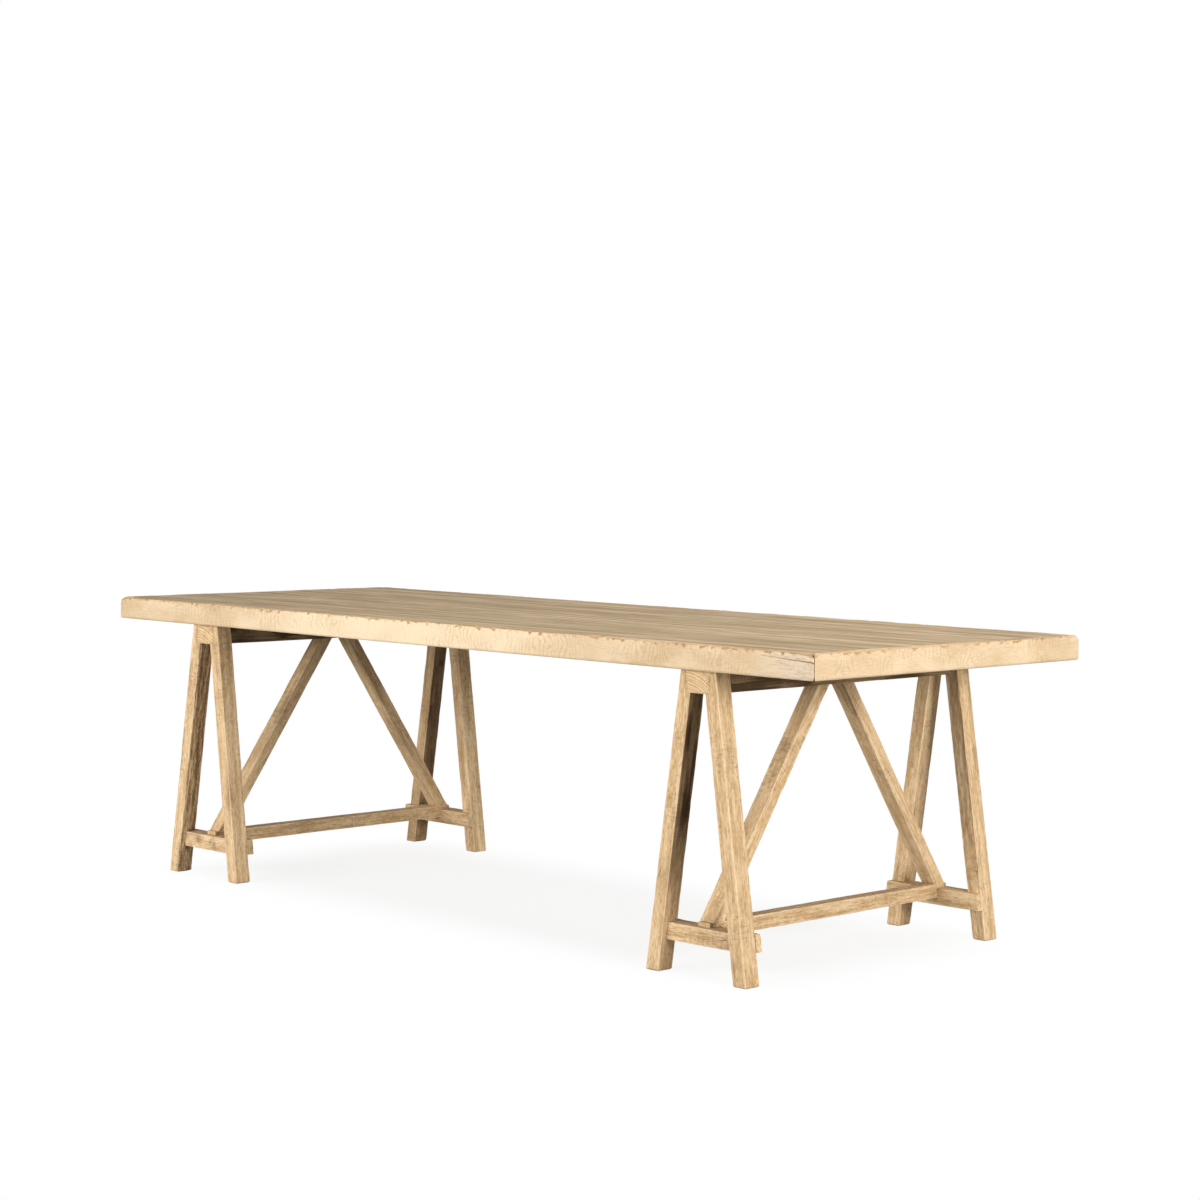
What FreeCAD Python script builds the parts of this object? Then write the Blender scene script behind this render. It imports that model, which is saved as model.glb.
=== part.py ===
import FreeCAD, Part
import os

# Trestle dining table in worn oak: a deep-edged plank top that rests loose on two
# A-frame trestles. Millimetres. X runs along the table, Y across it and Z up.
# The origin is on the floor under the middle of the top.

# Whole table
table_length = 2690.0
table_width = 1000.0
table_height = 780.0

# Deep lipping, mitred round the planks
lipping_depth = 62.0
lipping_thickness = 24.0
lipping_corner_radius = 9.0
lipping_lower_radius = 7.0
lipping_upper_radius = 4.0
mitre_key_length = 16.0
mitre_key_thickness = 8.0
mitre_key_height = 36.0
mitre_angle = 45.0

# Planks and the loose tongues between them
plank_thickness = 34.0
plank_arris = 0.8
plank_width_shares = (0.150, 0.135, 0.145, 0.140, 0.130, 0.155, 0.145)
tongue_thickness = 10.0
tongue_width = 24.0
tongue_stop = 40.0
groove_clearance = 0.5

# Cross members, housed into the underside of the planks
bearer_width = 130.0
batten_width = 90.0
batten_spacing_share = 0.5
batten_housing = 6.0

# Trestle positions and splay
trestle_inset = 382.0
frame_setback = 30.0
foot_half_spread = 161.0
head_half_spread = 56.0

# Legs
leg_width = 41.0
leg_depth = 48.0
leg_arris_radius = 3.0
foot_chamfer = 5.0

# Head beam
beam_width = 77.0
beam_height = 55.0
beam_arris_radius = 2.0

# Foot rails, shouldered between the legs and lapped behind them
rail_bottom = 76.0
rail_height = 42.0
rail_setback = 14.0
rail_lap = 19.0
rail_arris_radius = 2.5

# Stretcher, with a tongue at each end that rides over the foot rail
stretcher_width = 38.0
stretcher_height = 36.0
stretcher_tongue_height = 11.0
stretcher_tongue_reach = 38.0
stretcher_arris_radius = 2.0

# Braces, from the stretcher ends up to the middle of the head beam
brace_width = 44.0
brace_cut_length = 41.0
brace_foot_reach = 29.0
brace_head_gap = 25.0
brace_arris_radius = 2.5
tenon_width = 16.0
tenon_length = 18.0
tenon_shoulder = 4.0
head_tenon_depth = 20.0
foot_tenon_depth = 26.0
tenon_clearance = 0.3

# Hidden slip tenons, and the pegs that locate the top
slip_thickness = 10.0
slip_width = 26.0
head_slip_length = 28.0
rail_slip_length = 24.0
locating_peg_radius = 11.0
locating_peg_length = 38.0
locating_peg_rise = 18.0
locating_peg_share = 0.64
locating_hole_depth = 21.0
peg_clearance = 0.3
locating_clearance = 0.6

# Edges within this distance of a level count as lying on it
level_tolerance = 0.1

# Levels and lines that follow from the sizes above
trestle_height = table_height - lipping_depth
planks_underside = table_height - plank_thickness
beam_underside = trestle_height - beam_height
rail_top = rail_bottom + rail_height
stretcher_top = rail_top + stretcher_tongue_height
stretcher_bottom = stretcher_top - stretcher_height
leg_lean = (foot_half_spread - head_half_spread) / trestle_height
frame_half_width = table_width / 2 - frame_setback
leg_inner_face = frame_half_width - leg_depth
rail_inner_face = leg_inner_face - rail_lap
brace_foot_outer = rail_inner_face + brace_foot_reach
field_half_length = table_length / 2 - lipping_thickness
field_half_width = table_width / 2 - lipping_thickness
trestle_centre = table_length / 2 - trestle_inset
batten_spacing = trestle_centre * batten_spacing_share
locating_peg_spacing = frame_half_width * locating_peg_share

X_AXIS = FreeCAD.Vector(1, 0, 0)
Y_AXIS = FreeCAD.Vector(0, 1, 0)
Z_AXIS = FreeCAD.Vector(0, 0, 1)


def block(x_start, x_end, y_start, y_end, z_start, z_end):
    """A square-edged block between two limits on each axis, given in either order."""
    low = FreeCAD.Vector(min(x_start, x_end), min(y_start, y_end), min(z_start, z_end))
    return Part.makeBox(abs(x_end - x_start), abs(y_end - y_start), abs(z_end - z_start), low)


def swept(corners, sweep):
    """A flat outline of (x, y, z) corners swept along a vector into a solid."""
    points = [FreeCAD.Vector(*corner) for corner in corners]
    return Part.Face(Part.makePolygon(points + points[:1])).extrude(sweep)


def rod(radius, start, axis, length):
    """A round peg or hole that starts at a point and runs along an axis."""
    return Part.makeCylinder(radius, length, FreeCAD.Vector(*start), axis)


def eased(shape, radius, shortest):
    """The shape with every edge longer than a limit rounded over."""
    return shape.makeFillet(radius, [edge for edge in shape.Edges if edge.Length > shortest])


def level_edges(shape, level):
    """The edges that lie flat at one height."""
    return [edge for edge in shape.Edges
            if max(abs(edge.BoundBox.ZMin - level), abs(edge.BoundBox.ZMax - level)) < level_tolerance]


def cut_all(shape, tools):
    """The shape with each tool taken out of it in turn."""
    for tool in tools:
        shape = shape.cut(tool)
    return shape


def export(node, solids):
    """One STEP file per node; a group of like pieces shares one file."""
    shape = solids[0] if len(solids) == 1 else Part.makeCompound(solids)
    shape.exportStep("parts/" + node + ".step")


# The lipping: one rounded ring, later sawn into four mitred lengths
def lipping_ring():
    ring = block(-table_length / 2, table_length / 2, -table_width / 2, table_width / 2,
                 trestle_height, table_height)
    corners = [edge for edge in ring.Edges if edge.BoundBox.ZLength > mitre_key_height]
    ring = ring.makeFillet(lipping_corner_radius, corners)
    ring = ring.makeFillet(lipping_upper_radius, level_edges(ring, table_height))
    ring = ring.makeFillet(lipping_lower_radius, level_edges(ring, trestle_height))
    return ring.cut(block(-field_half_length, field_half_length, -field_half_width, field_half_width,
                          trestle_height, table_height))


def mitre_prism(along_x, side):
    """The wedge of space that one lipping length keeps between its two mitre cuts."""
    half_length = table_length / 2
    half_width = table_width / 2
    field_x = half_length - half_width
    if along_x:
        outline = [(-half_length, side * half_width, trestle_height),
                   (half_length, side * half_width, trestle_height),
                   (field_x, 0, trestle_height),
                   (-field_x, 0, trestle_height)]
    else:
        outline = [(side * half_length, -half_width, trestle_height),
                   (side * half_length, half_width, trestle_height),
                   (side * field_x, 0, trestle_height)]
    return swept(outline, Z_AXIS * lipping_depth)


def mitre_key(side_x, side_y, clearance):
    """A loose key that crosses one mitre at right angles, hidden in both lippings."""
    length = mitre_key_length + 2 * clearance
    key = block(-length / 2, length / 2, -mitre_key_thickness / 2, mitre_key_thickness / 2,
                -mitre_key_height / 2, mitre_key_height / 2)
    key.rotate(FreeCAD.Vector(0, 0, 0), Z_AXIS, -mitre_angle * side_x * side_y)
    key.translate(FreeCAD.Vector(side_x * (table_length - lipping_thickness) / 2,
                                 side_y * (table_width - lipping_thickness) / 2,
                                 table_height - lipping_depth / 2))
    return key


# The planks share the field by their width shares, from the front edge to the rear
plank_lines = [-field_half_width]
for share in plank_width_shares:
    plank_lines.append(plank_lines[-1] + share * 2 * field_half_width)
plank_lines[-1] = field_half_width
tongue_level = planks_underside + plank_thickness / 2


def seam_tongue(seam_y, clearance):
    """A loose tongue along one seam; the groove is the same with a little depth to spare."""
    half_length = field_half_length - tongue_stop + clearance
    half_width = tongue_width / 2 + clearance
    return block(-half_length, half_length, seam_y - half_width, seam_y + half_width,
                 tongue_level - tongue_thickness / 2, tongue_level + tongue_thickness / 2)


def end_tongue(side, clearance):
    """A loose tongue across the plank ends, let into the end lipping."""
    half_length = field_half_width - tongue_stop + clearance
    half_width = tongue_width / 2 + clearance
    seam_x = side * field_half_length
    return block(seam_x - half_width, seam_x + half_width, -half_length, half_length,
                 tongue_level - tongue_thickness / 2, tongue_level + tongue_thickness / 2)


# Cross members: a broad bearer over each trestle and narrower battens between them
cross_members = (("left_bearer", -trestle_centre, bearer_width),
                 ("left_batten", -batten_spacing, batten_width),
                 ("middle_batten", 0, batten_width),
                 ("right_batten", batten_spacing, batten_width),
                 ("right_bearer", trestle_centre, bearer_width))


def cross_member(centre_x, width):
    """A bearer or batten, level with the lipping below and let into the planks above."""
    return block(centre_x - width / 2, centre_x + width / 2, -field_half_width, field_half_width,
                 trestle_height, planks_underside + batten_housing)


def locating_rods(centre_x, radius, foot, length):
    """A pair of upright pegs or holes on the centre line of one head beam."""
    return [rod(radius, (centre_x, side * locating_peg_spacing, foot), Z_AXIS, length) for side in (-1, 1)]


def locating_pegs(centre_x, clearance):
    """Two stout pegs that stand out of a head beam, or their sockets in it."""
    foot = trestle_height + locating_peg_rise - locating_peg_length
    return locating_rods(centre_x, locating_peg_radius + clearance, foot, locating_peg_length)


def locating_holes(centre_x):
    """Blind holes in the underside of a bearer that drop over the locating pegs."""
    radius = locating_peg_radius + locating_clearance
    return locating_rods(centre_x, radius, trestle_height, locating_hole_depth)


def build_top():
    keys = [(side_x, side_y) for side_x in (-1, 1) for side_y in (-1, 1)]
    key_slots = [mitre_key(side_x, side_y, groove_clearance) for side_x, side_y in keys]
    seams = plank_lines[1:-1]
    edge_seams = plank_lines[:1] + plank_lines[-1:]
    seam_grooves = [seam_tongue(seam_y, groove_clearance) for seam_y in plank_lines]
    end_grooves = [end_tongue(side, groove_clearance) for side in (-1, 1)]
    ring = cut_all(lipping_ring(), key_slots + seam_grooves + end_grooves)
    export("front_lipping", [ring.common(mitre_prism(True, -1))])
    export("rear_lipping", [ring.common(mitre_prism(True, 1))])
    export("left_end_lipping", [ring.common(mitre_prism(False, -1))])
    export("right_end_lipping", [ring.common(mitre_prism(False, 1))])
    export("mitre_keys", [mitre_key(side_x, side_y, 0) for side_x, side_y in keys])
    export("seam_tongues", [seam_tongue(seam_y, 0) for seam_y in edge_seams + seams])
    export("end_tongues", [end_tongue(side, 0) for side in (-1, 1)])

    members = [cross_member(centre_x, width) for node, centre_x, width in cross_members]
    for number, (front, rear) in enumerate(zip(plank_lines, plank_lines[1:]), 1):
        plank = block(-field_half_length, field_half_length, front, rear, planks_underside, table_height)
        long_arrises = [edge for edge in level_edges(plank, table_height) if edge.Length > table_width]
        plank = plank.makeChamfer(plank_arris, long_arrises)
        export("top_plank_%d" % number, [cut_all(plank, seam_grooves + end_grooves + members)])
    holes = locating_holes(-trestle_centre) + locating_holes(trestle_centre)
    for (node, centre_x, width), member in zip(cross_members, members):
        export(node, [cut_all(member, holes)])


def leg_edge(level, inset):
    """How far out from the trestle's middle a leg's side lies at one height."""
    return foot_half_spread - leg_lean * level - inset


def head_slip(centre_x, side, end, clearance):
    """A hidden slip tenon from the head beam out into the cheek of one leg."""
    middle_x = centre_x + side * beam_width / 2
    middle_y = end * (frame_half_width - leg_depth / 2)
    middle_z = trestle_height - beam_height / 2
    half_width = slip_width / 2 + clearance
    half_thickness = slip_thickness / 2 + clearance
    return block(middle_x - head_slip_length / 2, middle_x + head_slip_length / 2,
                 middle_y - half_width, middle_y + half_width,
                 middle_z - half_thickness, middle_z + half_thickness)


def rail_slip(centre_x, side, end, clearance):
    """A hidden slip tenon from the lap of a foot rail out into the leg in front of it."""
    middle_z = rail_bottom + rail_height / 2
    middle_x = centre_x + side * leg_edge(middle_z, leg_width / 2)
    middle_y = end * leg_inner_face
    half_width = slip_width / 2 + clearance
    half_thickness = slip_thickness / 2 + clearance
    return block(middle_x - half_thickness, middle_x + half_thickness,
                 middle_y - rail_slip_length / 2, middle_y + rail_slip_length / 2,
                 middle_z - half_width, middle_z + half_width)


def leg(centre_x, side, end):
    """A splayed leg: notched at its head round the beam and chamfered at the foot."""
    outer_y = end * frame_half_width
    outline = [(centre_x + side * leg_edge(0, 0), outer_y, 0),
               (centre_x + side * leg_edge(0, leg_width), outer_y, 0),
               (centre_x + side * leg_edge(trestle_height, leg_width), outer_y, trestle_height),
               (centre_x + side * leg_edge(trestle_height, 0), outer_y, trestle_height)]
    blank = swept(outline, Y_AXIS * (-end * leg_depth))
    blank = blank.makeChamfer(foot_chamfer, level_edges(blank, 0))
    blank = eased(blank, leg_arris_radius, beam_underside)
    notch = block(centre_x - beam_width / 2, centre_x + beam_width / 2, -table_width / 2, table_width / 2,
                  beam_underside, table_height)
    return cut_all(blank, [notch, head_slip(centre_x, side, end, tenon_clearance),
                           rail_slip(centre_x, side, end, tenon_clearance)])


def head_tenon(centre_x, end, clearance):
    """The stub tenon that stands up from a brace into the head beam."""
    half_width = tenon_width / 2 + clearance
    half_length = tenon_length / 2 + clearance
    middle = end * (brace_head_gap + brace_cut_length / 2)
    return block(centre_x - half_width, centre_x + half_width, middle - half_length, middle + half_length,
                 beam_underside, beam_underside + head_tenon_depth)


def foot_tenon(centre_x, end, clearance):
    """The tenon that goes down from a brace through the stretcher's tongue into the rail."""
    half_width = tenon_width / 2 + clearance
    outer = brace_foot_outer - tenon_shoulder + clearance
    inner = brace_foot_outer - tenon_shoulder - tenon_length - clearance
    return block(centre_x - half_width, centre_x + half_width, end * inner, end * outer,
                 stretcher_top - foot_tenon_depth, stretcher_top)


def brace(centre_x, end):
    """A brace cut level at both ends, with a stub tenon at each."""
    start_x = centre_x - brace_width / 2
    outline = [(start_x, end * brace_foot_outer, stretcher_top),
               (start_x, end * (brace_foot_outer - brace_cut_length), stretcher_top),
               (start_x, end * brace_head_gap, beam_underside),
               (start_x, end * (brace_head_gap + brace_cut_length), beam_underside)]
    body = eased(swept(outline, X_AXIS * brace_width), brace_arris_radius, beam_underside - stretcher_top)
    return body.fuse(head_tenon(centre_x, end, 0)).fuse(foot_tenon(centre_x, end, 0))


def foot_rail(centre_x, end):
    """A foot rail: its thick part fits between the legs and its thin ends lap behind them."""
    def length_between(inset, from_y, to_y):
        outline = []
        for level, sides in ((rail_bottom, (-1, 1)), (rail_top, (1, -1))):
            for side in sides:
                outline.append((centre_x + side * leg_edge(level, inset), end * from_y, level))
        return swept(outline, Y_AXIS * (end * (to_y - from_y)))
    shouldered = length_between(leg_width, leg_inner_face, frame_half_width - rail_setback)
    lapped = length_between(0, leg_inner_face, rail_inner_face)
    rail = shouldered.fuse(lapped).removeSplitter()
    rail = eased(rail, rail_arris_radius, foot_half_spread)
    return cut_all(rail, [rail_slip(centre_x, -1, end, tenon_clearance),
                          rail_slip(centre_x, 1, end, tenon_clearance),
                          foot_tenon(centre_x, end, tenon_clearance)])


def stretcher(centre_x):
    """The stretcher: full depth between the rails, half-lapped over them at its ends."""
    reach = rail_inner_face + stretcher_tongue_reach
    start_x = centre_x - stretcher_width / 2
    outline = []
    for end in (-1, 1):
        ladder = [(end * rail_inner_face, stretcher_bottom), (end * rail_inner_face, rail_top),
                  (end * reach, rail_top), (end * reach, stretcher_top)]
        outline += ladder[::-1] if end < 0 else ladder
    body = swept([(start_x, y, z) for y, z in outline], X_AXIS * stretcher_width)
    body = eased(body, stretcher_arris_radius, leg_inner_face)
    return cut_all(body, [foot_tenon(centre_x, end, tenon_clearance) for end in (-1, 1)])


def build_trestle(name, centre_x):
    corners = [(side, end) for side in (-1, 1) for end in (-1, 1)]
    beam = block(centre_x - beam_width / 2, centre_x + beam_width / 2, -frame_half_width, frame_half_width,
                 beam_underside, trestle_height)
    beam = eased(beam, beam_arris_radius, frame_half_width)
    sockets = [head_tenon(centre_x, end, tenon_clearance) for end in (-1, 1)]
    sockets += [head_slip(centre_x, side, end, tenon_clearance) for side, end in corners]
    sockets += locating_pegs(centre_x, peg_clearance)
    export(name + "_head_beam", [cut_all(beam, sockets)])
    for side, end in corners:
        place = ("front" if end < 0 else "rear") + ("_left" if side < 0 else "_right")
        export(name + "_" + place + "_leg", [leg(centre_x, side, end)])
    for end, place in ((-1, "front"), (1, "rear")):
        export(name + "_" + place + "_foot_rail", [foot_rail(centre_x, end)])
        export(name + "_" + place + "_brace", [brace(centre_x, end)])
    export(name + "_stretcher", [stretcher(centre_x)])
    export(name + "_head_slips", [head_slip(centre_x, side, end, 0) for side, end in corners])
    export(name + "_rail_slips", [rail_slip(centre_x, side, end, 0) for side, end in corners])
    export(name + "_locating_pegs", locating_pegs(centre_x, 0))


os.makedirs("parts", exist_ok=True)
build_top()
build_trestle("left_trestle", -trestle_centre)
build_trestle("right_trestle", trestle_centre)
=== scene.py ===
import math
import random

import bpy
import numpy as np
from mathutils import Matrix, Vector


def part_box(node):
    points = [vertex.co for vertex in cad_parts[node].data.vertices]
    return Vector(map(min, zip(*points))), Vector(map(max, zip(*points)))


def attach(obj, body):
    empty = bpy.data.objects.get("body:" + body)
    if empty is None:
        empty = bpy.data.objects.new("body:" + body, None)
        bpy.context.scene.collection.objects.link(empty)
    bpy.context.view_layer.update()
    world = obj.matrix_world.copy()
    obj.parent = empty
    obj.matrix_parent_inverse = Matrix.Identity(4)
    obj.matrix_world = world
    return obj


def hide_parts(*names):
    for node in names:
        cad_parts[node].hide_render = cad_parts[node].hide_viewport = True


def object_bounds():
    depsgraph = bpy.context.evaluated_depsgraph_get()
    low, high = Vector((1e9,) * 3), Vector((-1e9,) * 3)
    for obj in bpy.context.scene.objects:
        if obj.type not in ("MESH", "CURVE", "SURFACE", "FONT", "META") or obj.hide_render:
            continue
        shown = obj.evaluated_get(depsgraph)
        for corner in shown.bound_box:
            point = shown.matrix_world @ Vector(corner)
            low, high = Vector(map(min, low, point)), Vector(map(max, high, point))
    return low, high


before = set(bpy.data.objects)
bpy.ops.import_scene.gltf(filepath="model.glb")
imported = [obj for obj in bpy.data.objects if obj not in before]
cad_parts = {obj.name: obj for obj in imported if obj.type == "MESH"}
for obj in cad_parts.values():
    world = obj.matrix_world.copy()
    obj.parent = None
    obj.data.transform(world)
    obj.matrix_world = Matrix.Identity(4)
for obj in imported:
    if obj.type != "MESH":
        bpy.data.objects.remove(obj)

cad_low, cad_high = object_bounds()

# Head beams: one oak beam along the top of each trestle, sawn square and left from the saw.
# Both ends finish flush with the A-frames, so their growth rings show between the leg heads.
TRESTLES = ("left_trestle", "right_trestle")
X, Y, Z = Vector((1, 0, 0)), Vector((0, 1, 0)), Vector((0, 0, 1))
# Cuts across the width, across the depth and along the length, for a mesh fine enough to wear.
BEAM_GRID = (10, 8, [100])
BEAM_ARRIS = 0.0008
BEAM_WORN_REACH = 0.008
BEAM_DIP = 0.0006
BEAM_DIP_SIZE = 0.12
BEAM_KNOCK = 0.0006
BEAM_KNOCK_SIZE = 0.04
BEAM_PITH = (0.02, -0.13)
BEAM_RING_SHARE = 0.5
MOST_BEAM_TONE = 0.1
# How dark the beam is painted on all but its ends: painted shade under the top, with some old staining.
BEAM_SHADE_AND_STAIN = 0.93
TINY = 1e-5
chance = random.Random(11)


def hold(piece):
    """Makes one piece the only one selected, ready for an operator."""
    if bpy.context.object and bpy.context.object.mode != "OBJECT":
        bpy.ops.object.mode_set(mode="OBJECT")
    bpy.ops.object.select_all(action="DESELECT")
    bpy.context.view_layer.objects.active = piece
    piece.select_set(True)


def pick_edges(piece, test):
    """Goes into edit mode with just those edges selected whose two ends pass a test."""
    hold(piece)
    bpy.context.tool_settings.mesh_select_mode = (False, True, False)
    mesh = piece.data
    for elements in (mesh.vertices, mesh.edges, mesh.polygons):
        elements.foreach_set("select", [False] * len(elements))
    for edge in mesh.edges:
        edge.select = test(*(mesh.vertices[index].co for index in edge.vertices))
    bpy.ops.object.mode_set(mode="EDIT")


def divide(bar, axis, cuts):
    """Splits every edge that runs along one axis into equal lengths."""
    pick_edges(bar, lambda a, b: (a - b).length - abs((a - b)[axis]) < TINY)
    bpy.ops.mesh.subdivide(number_cuts=cuts)
    bpy.ops.object.mode_set(mode="OBJECT")


def sawn_bar(name, width, depth, length, columns, rows, slices):
    """A square-sawn bar that stands on end about the origin, as a grid of small faces."""
    bpy.ops.object.select_all(action="DESELECT")
    bpy.ops.mesh.primitive_cube_add(size=1, scale=(width, depth, length))
    bar = bpy.context.object
    bar.name = name
    bpy.ops.object.transform_apply(location=False, rotation=False, scale=True)
    for axis, cuts in ((2, slices[0]), (0, columns), (1, rows)):
        divide(bar, axis, cuts)
    for cuts in slices[1:]:
        divide(bar, 2, cuts)
    return bar


def arrises(width, depth):
    """The four long arrises of a bar, as (x, y) in its own section."""
    return [(side * width / 2, face * depth / 2) for side in (-1, 1) for face in (-1, 1)]


def ease(bar, corners, radius, segments=2):
    """Rounds long arrises, given by the (x, y) of each."""
    def on_arris(a, b):
        return any(math.hypot(a.x - x, a.y - y) < TINY and math.hypot(b.x - x, b.y - y) < TINY
                   for x, y in corners)
    pick_edges(bar, on_arris)
    bpy.ops.mesh.bevel(offset=radius, segments=segments, affect="EDGES")
    bpy.ops.object.mode_set(mode="OBJECT")


def grade(bar, group, weight):
    """Makes a point group whose weights follow from each point's place and facing."""
    made = bar.vertex_groups.new(name=group)
    for point in bar.data.vertices:
        made.add([point.index], max(0, weight(point.co, point.normal)), "REPLACE")


def near(corners, reach):
    """A weight that is 1 on the arrises and falls to 0 a given reach away from them."""
    return lambda spot, normal: max(1 - math.hypot(spot.x - x, spot.y - y) / reach for x, y in corners)


def timber(name, width, depth, length, grid, arris, worn_reach):
    """A square-sawn bar with its arrises eased, and a point group about them to wear."""
    bar = sawn_bar(name, width, depth, length, *grid)
    ease(bar, arrises(width, depth), arris)
    grade(bar, "arris", near(arrises(width, depth), worn_reach))
    return bar


LONG = 3
ALL_OVER = (0.3, 0.7)
HERE_AND_THERE = (0.5, 0.8)
PATTERN_SPREAD = 9


def wear(bar, depth, size, stretch, levels, group=""):
    """Sinks the surface, up to a depth, as a cloudy pattern drawn out along the bar rises between levels."""
    pattern = bpy.data.textures.new("wear", "CLOUDS")
    pattern.noise_scale = size
    pattern.noise_depth = 2
    pattern.use_color_ramp = True
    for stop, position, level in zip(pattern.color_ramp.elements, levels, (1, 0)):
        stop.position = position
        stop.color = (level, level, level, 1)
    bpy.ops.object.empty_add(location=[chance.uniform(-PATTERN_SPREAD, PATTERN_SPREAD) for axis in range(3)])
    lie = bpy.context.object
    lie.scale.z = stretch
    hold(bar)
    sink = bar.modifiers.new("sink", "DISPLACE")
    sink.texture = pattern
    sink.texture_coords = "OBJECT"
    sink.texture_coords_object = lie
    sink.mid_level = 1
    sink.strength = depth
    sink.vertex_group = group
    bpy.ops.object.modifier_apply(modifier=sink.name)
    bpy.data.objects.remove(lie)


def laid(start, end, across):
    """The place of a bar whose length runs from start to end, with its width laid across."""
    along = (end - start).normalized()
    side = (across - along * across.dot(along)).normalized()
    place = Matrix((side, along.cross(side), along)).transposed().to_4x4()
    place.translation = (start + end) / 2
    return place


def put(bar, place):
    """Moves a finished bar to its place, which stays in its mesh."""
    hold(bar)
    bar.matrix_world = place
    bpy.ops.object.transform_apply()


LOG_SPREAD = 20


def nowhere(points, facings):
    """No stain and no painted shade on a bar that has neither."""
    return 0


def lay_grain(bar, place, width, depth, pith, tone, stain_and_shade=nowhere):
    """Writes on each point its place in the log, how far it lies off an arris, and its state:
    its tone, its stain and painted shade, and how deep below the sawn face it lies."""
    mesh = bar.data
    points, facings = np.empty((2, len(mesh.vertices), 3))
    mesh.vertices.foreach_get("co", points.ravel())
    mesh.vertices.foreach_get("normal", facings.ravel())
    local = (points - np.array(place.translation)) @ np.array(place.to_3x3())
    grain = local + np.array([*pith, chance.uniform(-LOG_SPREAD, LOG_SPREAD)])
    from_sides = width / 2 - abs(local[:, 0])
    from_faces = depth / 2 - abs(local[:, 1])
    state = np.zeros_like(local)
    state[:, 0] = tone(points, facings) if callable(tone) else tone
    state[:, 1] = stain_and_shade(points, facings)
    state[:, 2] = np.minimum(from_sides, from_faces)
    for name, values in (("grain", grain), ("state", state)):
        mesh.attributes.new(name, "FLOAT_VECTOR", "POINT").data.foreach_set("vector", values.ravel())
    off_arris = np.maximum(from_sides, from_faces)
    mesh.attributes.new("off_arris", "FLOAT", "POINT").data.foreach_set("value", off_arris)


SMOOTH_BELOW = math.radians(38)


def finish_piece(piece, material, body, slot, *nodes):
    """Gives a piece its material, and has it ride on a body in place of CAD nodes."""
    hold(piece)
    bpy.ops.object.shade_smooth_by_angle(angle=SMOOTH_BELOW)
    piece.vertex_groups.clear()
    piece.data.materials.clear()
    piece.data.materials.append(material)
    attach(piece, body)
    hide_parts(*nodes)


def srgb(red, green, blue):
    """A colour as it is read off a screen, turned into the light that it gives."""
    return (*(((part / 255 + 0.055) / 1.055) ** 2.4 for part in (red, green, blue)), 1)


class Field:
    """A number, colour or vector that varies over a surface: one output of a shader node."""

    def __init__(self, tree, socket=None):
        self.tree = tree
        self.socket = socket

    def node(self, kind, settings, inputs, output=0):
        """A node of any type, with its settings and with values or links for its sockets."""
        made = self.tree.nodes.new(kind)
        for setting, value in settings.items():
            setattr(made, setting, value)
        for name, value in inputs.items():
            if isinstance(value, Field):
                self.tree.links.new(value.socket, made.inputs[name])
            else:
                made.inputs[name].default_value = value
        return Field(self.tree, made.outputs[output])

    def maths(self, operation, *values):
        """One step of arithmetic."""
        return self.node("ShaderNodeMath", {"operation": operation}, dict(enumerate(values)))

    def __add__(self, other):
        return self.maths("ADD", self, other)

    def __sub__(self, other):
        return self.maths("SUBTRACT", self, other)

    def __rsub__(self, other):
        return self.maths("SUBTRACT", other, self)

    def __mul__(self, other):
        return self.maths("MULTIPLY", self, other)

    def __abs__(self):
        return self.maths("ABSOLUTE", self)

    __radd__ = __add__
    __rmul__ = __mul__

    def at_least(self, other):
        """This, or another where that is higher."""
        return self.maths("MAXIMUM", self, other)

    def between(self, low, high):
        """0 below a low level and 1 above a high one, with a soft step from one to the other."""
        return self.node("ShaderNodeMapRange", {"interpolation_type": "SMOOTHSTEP"},
                         {"Value": self, "From Min": low, "From Max": high})

    def attribute(self, name, output="Vector"):
        """What the points of a mesh carry under a name."""
        return self.node("ShaderNodeAttribute", {"attribute_name": name}, {}, output)

    def spot(self):
        """The place of each point in the object's own frame."""
        return self.node("ShaderNodeTexCoord", {}, {}, "Object")

    def parts(self):
        """The three parts of a vector."""
        return [self.node("ShaderNodeSeparateXYZ", {}, {"Vector": self}, axis) for axis in "XYZ"]

    def scaled(self, factors):
        """A vector with each part multiplied."""
        return self.node("ShaderNodeVectorMath", {"operation": "MULTIPLY"}, {0: self, 1: factors})

    def size(self):
        """The length of a vector."""
        return self.node("ShaderNodeVectorMath", {"operation": "LENGTH"}, {0: self}, "Value")

    def cloud(self, across, along, detail=2, output="Fac"):
        """Soft noise laid out along the grain: so many cells to the metre across it and along it."""
        return self.node("ShaderNodeTexNoise", {}, {"Vector": self.scaled((across, across, along)),
                                                    "Scale": 1, "Detail": detail}, output)

    def mixed(self, first, second):
        """The first colour where this is 0 and the second where it is 1, each a field or a screen colour."""
        factor_socket, first_socket, second_socket, result_socket = 0, 6, 7, 2
        inputs = {factor_socket: self}
        for socket, colour in ((first_socket, first), (second_socket, second)):
            inputs[socket] = colour if isinstance(colour, Field) else srgb(*colour)
        return self.node("ShaderNodeMix", {"data_type": "RGBA"}, inputs, result_socket)

    def drive(self, shader, socket):
        """Links this to a socket of a shader."""
        self.tree.links.new(self.socket, shader.inputs[socket])


SHEEN = 0.12


def wood_shader(name):
    """An empty matt material: the material, its shader, and a field to start from."""
    material = bpy.data.materials.new(name)
    material.use_nodes = True
    shader = material.node_tree.nodes["Principled BSDF"]
    shader.inputs["Specular IOR Level"].default_value = SHEEN
    return material, shader, Field(material.node_tree)


def bumped(height, lift):
    """A normal roughened by a height, of which 1 lifts the surface by so many metres."""
    return height.node("ShaderNodeBump", {}, {"Height": height, "Distance": lift, "Strength": 1})


RINGS_PER_METRE = 260
PITH_STRAY = 0.03


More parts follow.
